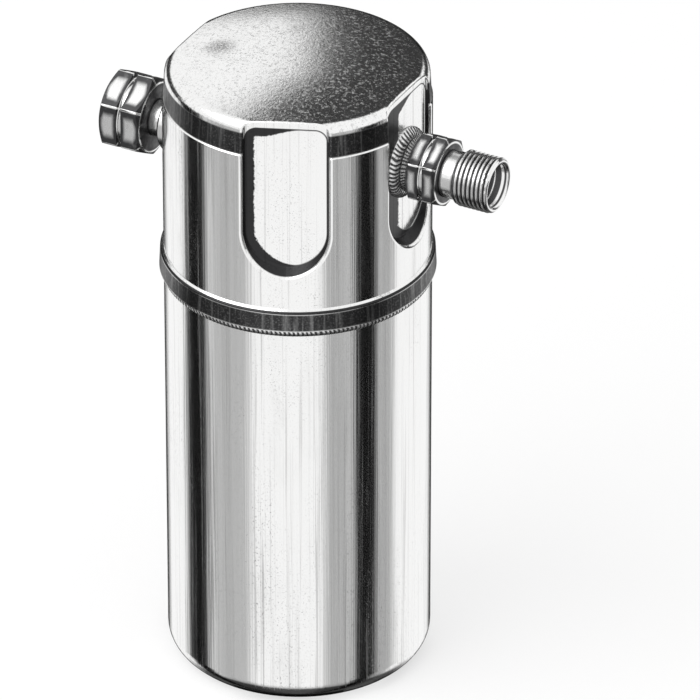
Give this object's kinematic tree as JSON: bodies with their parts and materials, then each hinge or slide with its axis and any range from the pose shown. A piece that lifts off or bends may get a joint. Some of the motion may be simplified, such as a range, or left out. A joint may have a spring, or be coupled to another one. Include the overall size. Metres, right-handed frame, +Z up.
{
  "type": "refrigerant filter drier",
  "caption": "Drawn aluminium suction accumulator drier: domed can with pressed flats, a threaded outlet, a swivel nut inlet, and a pick-up tube and desiccant inside.",
  "frame": {"origin": "middle of the standing ring at the can's foot, on the can's axis", "axes": "+Z up the can's axis, +X along the outlet's axis, -X along the inlet's axis"},
  "size_m": [0.1442, 0.093, 0.228],
  "materials": {
    "drawn_aluminium": "bare drawn aluminium, faint draw lines",
    "weld_metal": "as-welded bead, rippled",
    "turned_aluminium": "turned, fine lathe marks",
    "tube_aluminium": "bent tube, mill finish",
    "seal_rubber": "dull green-black",
    "grommet_rubber": "dull black",
    "strainer_plastic": "natural nylon",
    "screen_mesh": "fine woven wire",
    "bag_felt": "white needled felt",
    "tie_plastic": "natural nylon"
  },
  "bodies": {
    "canister": {"upper_shell": "drawn_aluminium", "lower_shell": "drawn_aluminium", "girth_weld": "weld_metal", "outlet_fitting": "turned_aluminium", "outlet_weld": "weld_metal", "inlet_tube": "turned_aluminium", "inlet_weld": "weld_metal", "inlet_seal": "seal_rubber", "suction_tube": "tube_aluminium", "tube_braze": "weld_metal", "baffle": "drawn_aluminium", "baffle_grommet": "grommet_rubber", "strainer_body": "strainer_plastic", "strainer_cup": "strainer_plastic", "strainer_screen": "screen_mesh", "desiccant_bag_front": "bag_felt", "desiccant_bag_back": "bag_felt", "bag_saddle": "bag_felt", "bag_tie": "tie_plastic"},
    "nut": {"inlet_nut": "turned_aluminium"}
  },
  "joints": [
    {"name": "nut_swivel", "type": "hinge", "parent": "canister", "child": "nut", "pos_m": [-0.06135, 0, 0.19], "axis": [-1, 0, 0], "continuous": true}
  ]
}
